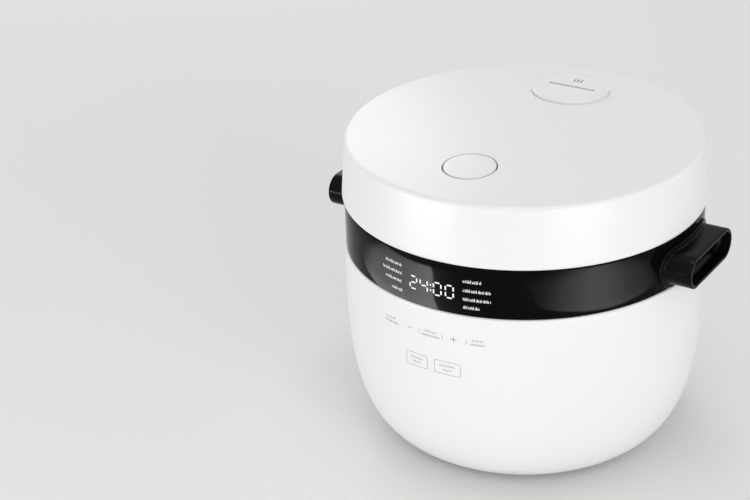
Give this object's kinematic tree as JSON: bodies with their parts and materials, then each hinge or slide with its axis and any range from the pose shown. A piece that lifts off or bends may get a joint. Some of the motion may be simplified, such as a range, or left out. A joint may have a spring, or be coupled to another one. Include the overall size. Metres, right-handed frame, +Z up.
{
  "type": "electric rice cooker",
  "caption": "Round electric rice cooker with a hinged lid, steam vent cap, open button, black display band, side handles, inner pot and rear power inlet.",
  "frame": {"origin": "on the table, under the centre of the body and midway between the handles", "axes": "+Z up, -Y towards the front with the display, +X along the line of the handles"},
  "size_m": [0.271, 0.2442, 0.2204],
  "materials": {
    "white_gloss": "smooth white plastic with a soft gloss",
    "black_gloss": "glossy black plastic",
    "grey_plastic": "light grey moulded plastic",
    "dark_plastic": "dark moulded plastic",
    "silicone": "matt grey silicone",
    "foot_rubber": "matt dark rubber",
    "aluminium": "satin aluminium",
    "steel": "plated steel",
    "galvanised": "galvanised sheet",
    "pot_coating": "dark non-stick coating",
    "circuit_board": "green lacquered board",
    "transformer_tape": "yellow tape",
    "relay_case": "blue case",
    "brass": "brass"
  },
  "bodies": {
    "root": {"body_shell": "white_gloss", "control_band": "black_gloss", "upper_frame": "grey_plastic", "latch_catch": "steel", "hinge_bracket": "grey_plastic", "hinge_cover": "white_gloss", "hinge_pin": "steel", "hinge_spring": "steel", "handle_left": "black_gloss", "handle_right": "black_gloss", "handle_screws": "steel", "display_module": "dark_plastic", "control_board": "circuit_board", "touch_board": "circuit_board", "touch_springs": "steel", "inner_pot": "pot_coating", "heat_shield": "galvanised", "heating_plate": "aluminium", "heating_element": "steel", "thermal_fuse": "brass", "sensor_spring": "steel", "sensor_bracket": "galvanised", "power_board": "circuit_board", "transformer": "transformer_tape", "relay": "relay_case", "capacitor": "dark_plastic", "base_plate": "grey_plastic", "feet": "foot_rubber", "base_screws": "steel", "power_inlet": "dark_plastic", "inlet_pins": "brass"},
    "lid": {"lid_cover": "white_gloss", "lid_liner": "grey_plastic", "lid_screws": "steel", "button_spring": "steel", "latch_spring": "steel", "steam_cup": "grey_plastic", "steam_cup_seal": "silicone", "inner_lid": "aluminium", "inner_lid_seal": "silicone", "inner_lid_grommet": "silicone", "lid_sensor": "steel", "hinge_arm": "grey_plastic"},
    "open_button": {"open_button": "white_gloss"},
    "latch": {"latch_slider": "grey_plastic"},
    "vent_cap": {"steam_vent_cap": "white_gloss"},
    "pot_sensor": {"pot_sensor": "aluminium"}
  },
  "joints": [
    {"name": "lid_hinge", "type": "hinge", "parent": "root", "child": "lid", "pos_m": [0, 0.109, 0.178], "axis": [-1, 0, 0], "range_deg": [0, 85]},
    {"name": "button_press", "type": "slide", "parent": "lid", "child": "open_button", "axis": [0, 0, -1], "range_m": [0, 0.003], "stiffness_N_per_m": 1200, "springref_m": -0.0015, "deforming": ["button_spring"]},
    {"name": "latch_slide", "type": "slide", "parent": "lid", "child": "latch", "axis": [0, 1, 0], "range_m": [0, 0.003]},
    {"name": "vent_cap_lift", "type": "slide", "parent": "lid", "child": "vent_cap", "axis": [0, 0, 1], "range_m": [0, 0.03]},
    {"name": "sensor_press", "type": "slide", "parent": "root", "child": "pot_sensor", "axis": [0, 0, -1], "range_m": [0, 0.0025], "stiffness_N_per_m": 1500, "springref_m": -0.001, "deforming": ["sensor_spring"]}
  ],
  "couplings": [
    {"joint": "latch_slide", "follows": "button_press", "ratio": 1}
  ]
}
